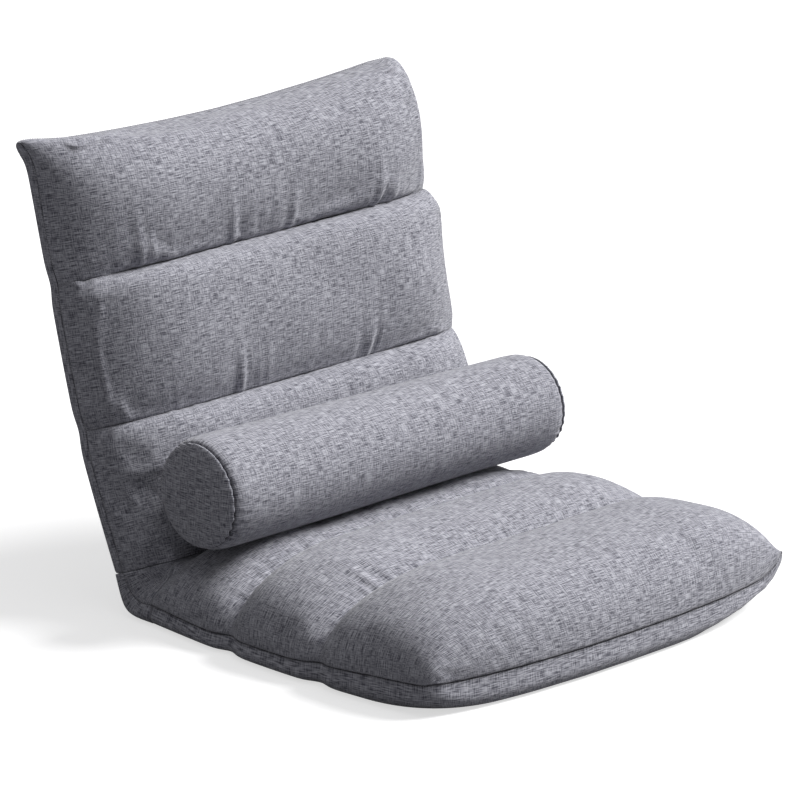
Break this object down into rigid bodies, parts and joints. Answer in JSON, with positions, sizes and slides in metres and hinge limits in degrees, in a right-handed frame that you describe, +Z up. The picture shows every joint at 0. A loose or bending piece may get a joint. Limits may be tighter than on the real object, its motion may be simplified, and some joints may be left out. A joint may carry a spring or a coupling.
{
  "type": "floor chair",
  "caption": "Legless folding floor chair: channelled cloth seat and back on a ratchet-hinged tube frame, with a loose bolster in the crease.",
  "frame": {"origin": "on the floor under the middle of the seat, on the flat of the seat's underside", "axes": "+Z up, the chair faces -Y, +X is across the chair along the hinge axis"},
  "size_m": [0.564, 0.6392, 0.5049],
  "materials": {
    "cloth": "heather linen weave",
    "filling": "fibre filling",
    "foam": "open-cell foam",
    "plate": "zinc plated",
    "slider": "nickel plated",
    "steel": "bare hardened steel",
    "tube": "satin black paint",
    "webbing": "elastic webbing",
    "zip": "woven tape with a plastic coil"
  },
  "bodies": {
    "seat": {"arm_rivet_front_left": "steel", "arm_rivet_front_right": "steel", "arm_rivet_rear_left": "steel", "arm_rivet_rear_right": "steel", "cheek_inner_left": "plate", "cheek_inner_right": "plate", "cheek_outer_left": "plate", "cheek_outer_right": "plate", "pawl_pin_left": "steel", "pawl_pin_right": "steel", "pawl_spring_left": "steel", "pawl_spring_right": "steel", "pivot_pin_left": "steel", "pivot_pin_right": "steel", "seat_arm_left": "steel", "seat_arm_right": "steel", "seat_cover_bottom": "cloth", "seat_cover_top": "cloth", "seat_cross_tube": "tube", "seat_frame_tube": "tube", "seat_pad_front": "foam", "seat_pad_middle": "foam", "seat_pad_rear": "foam", "seat_slab": "foam", "seat_strap_front": "webbing", "seat_strap_middle": "webbing", "seat_strap_rear": "webbing", "seat_tube_rivet_left": "steel", "seat_tube_rivet_right": "steel", "waist_gusset": "cloth"},
    "back": {"back_arm_left": "steel", "back_arm_right": "steel", "back_cover_front": "cloth", "back_cover_rear": "cloth", "back_cross_tube": "tube", "back_frame_tube": "tube", "back_pad_head": "foam", "back_pad_lower": "foam", "back_pad_middle": "foam", "back_slab": "foam", "back_strap_lower": "webbing", "back_strap_middle": "webbing", "back_strap_upper": "webbing", "back_tube_rivet_left": "steel", "back_tube_rivet_right": "steel", "zip_tape": "zip"},
    "bolster": {"bolster_cover": "cloth", "bolster_end_left": "cloth", "bolster_end_right": "cloth", "bolster_filling": "filling"},
    "pawl_left": {"pawl_left": "steel"},
    "pawl_right": {"pawl_right": "steel"},
    "release_left": {"release_plate_left": "plate"},
    "release_right": {"release_plate_right": "plate"},
    "zip": {"zip_slider": "slider"}
  },
  "joints": [
    {"name": "back_fold", "type": "hinge", "parent": "seat", "child": "back", "pos_m": [0, 0.216, 0.036], "axis": [1, 0, 0], "range_deg": [-70, 70], "deforming": ["back_cover_front", "back_pad_lower", "back_pad_middle", "back_slab", "bolster_cover", "bolster_end_left", "bolster_end_right", "bolster_filling", "seat_cover_top", "seat_pad_middle", "seat_pad_rear", "seat_slab", "waist_gusset"]},
    {"name": "bolster_lift", "type": "slide", "parent": "seat", "child": "bolster", "axis": [0, -0.5736, 0.8192], "range_m": [0, 0.6]},
    {"name": "pawl_left", "type": "hinge", "parent": "seat", "child": "pawl_left", "pos_m": [0, 0.19155, 0.03902], "axis": [1, 0, 0], "range_deg": [0, 7], "deforming": ["pawl_spring_left"]},
    {"name": "pawl_right", "type": "hinge", "parent": "seat", "child": "pawl_right", "pos_m": [0, 0.19155, 0.03902], "axis": [1, 0, 0], "range_deg": [0, 7], "deforming": ["pawl_spring_right"]},
    {"name": "release_left", "type": "hinge", "parent": "seat", "child": "release_left", "pos_m": [0, 0.216, 0.036], "axis": [1, 0, 0], "range_deg": [0, 28]},
    {"name": "release_right", "type": "hinge", "parent": "seat", "child": "release_right", "pos_m": [0, 0.216, 0.036], "axis": [1, 0, 0], "range_deg": [0, 28]},
    {"name": "zip_slide", "type": "slide", "parent": "back", "child": "zip", "axis": [1, 0, 0], "range_m": [-0.325, 0]}
  ],
  "couplings": [
    {"joint": "pawl_right", "follows": "pawl_left", "ratio": 1},
    {"joint": "release_left", "follows": "pawl_left", "ratio": 4},
    {"joint": "release_right", "follows": "pawl_left", "ratio": 4}
  ]
}
